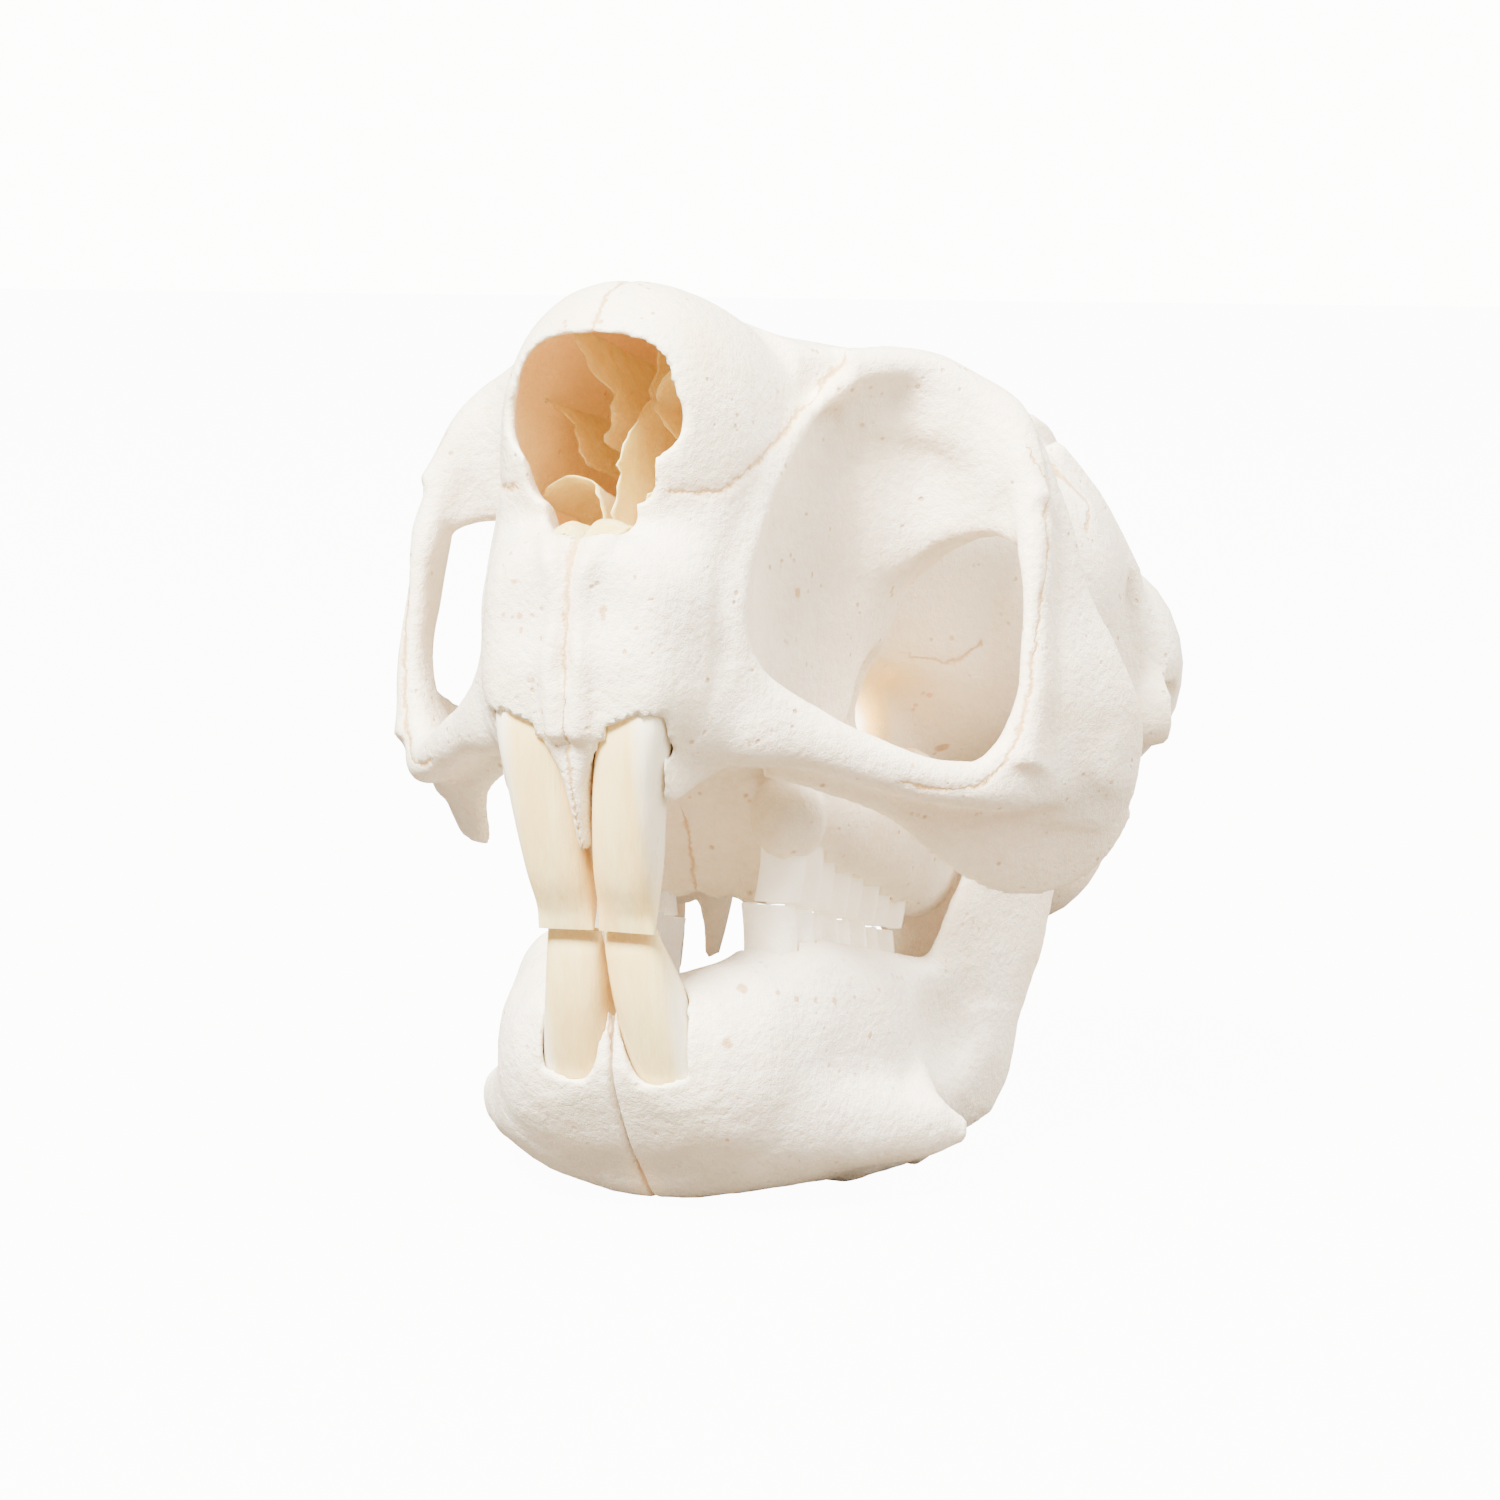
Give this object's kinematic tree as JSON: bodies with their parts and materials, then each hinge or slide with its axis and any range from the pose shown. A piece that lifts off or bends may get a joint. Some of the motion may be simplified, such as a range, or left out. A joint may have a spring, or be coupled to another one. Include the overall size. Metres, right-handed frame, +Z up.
{
  "type": "springhare skull",
  "caption": "Bleached rodent skull with lower jaw in place: tall snout, wide cheek openings, curved gnawing teeth, bulging chin.",
  "frame": {"origin": "middle of the footprint of the whole skull, on the surface it rests on", "axes": "+X to the animal's left, +Y towards the back of the head, +Z up; the skull rests on its chin and the angles of its jaw, nose up by 5.5 degrees"},
  "size_m": [0.0587, 0.0844, 0.0662],
  "materials": {
    "skull_bone": "dry bleached bone, matt, a little warm where thin",
    "jaw_bone": "dry bleached bone, matt",
    "incisor_enamel": "cream tooth enamel, satin",
    "cheek_tooth_enamel": "pale tooth enamel, satin"
  },
  "bodies": {
    "root": {"cranium": "skull_bone", "dentary_left": "jaw_bone", "dentary_right": "jaw_bone", "upper_incisor_left": "incisor_enamel", "upper_incisor_right": "incisor_enamel", "lower_incisor_left": "incisor_enamel", "lower_incisor_right": "incisor_enamel", "upper_cheek_tooth_left_1": "cheek_tooth_enamel", "upper_cheek_tooth_left_2": "cheek_tooth_enamel", "upper_cheek_tooth_left_3": "cheek_tooth_enamel", "upper_cheek_tooth_left_4": "cheek_tooth_enamel", "upper_cheek_tooth_right_1": "cheek_tooth_enamel", "upper_cheek_tooth_right_2": "cheek_tooth_enamel", "upper_cheek_tooth_right_3": "cheek_tooth_enamel", "upper_cheek_tooth_right_4": "cheek_tooth_enamel", "lower_cheek_tooth_left_1": "cheek_tooth_enamel", "lower_cheek_tooth_left_2": "cheek_tooth_enamel", "lower_cheek_tooth_left_3": "cheek_tooth_enamel", "lower_cheek_tooth_left_4": "cheek_tooth_enamel", "lower_cheek_tooth_right_1": "cheek_tooth_enamel", "lower_cheek_tooth_right_2": "cheek_tooth_enamel", "lower_cheek_tooth_right_3": "cheek_tooth_enamel", "lower_cheek_tooth_right_4": "cheek_tooth_enamel"}
  },
  "joints": []
}
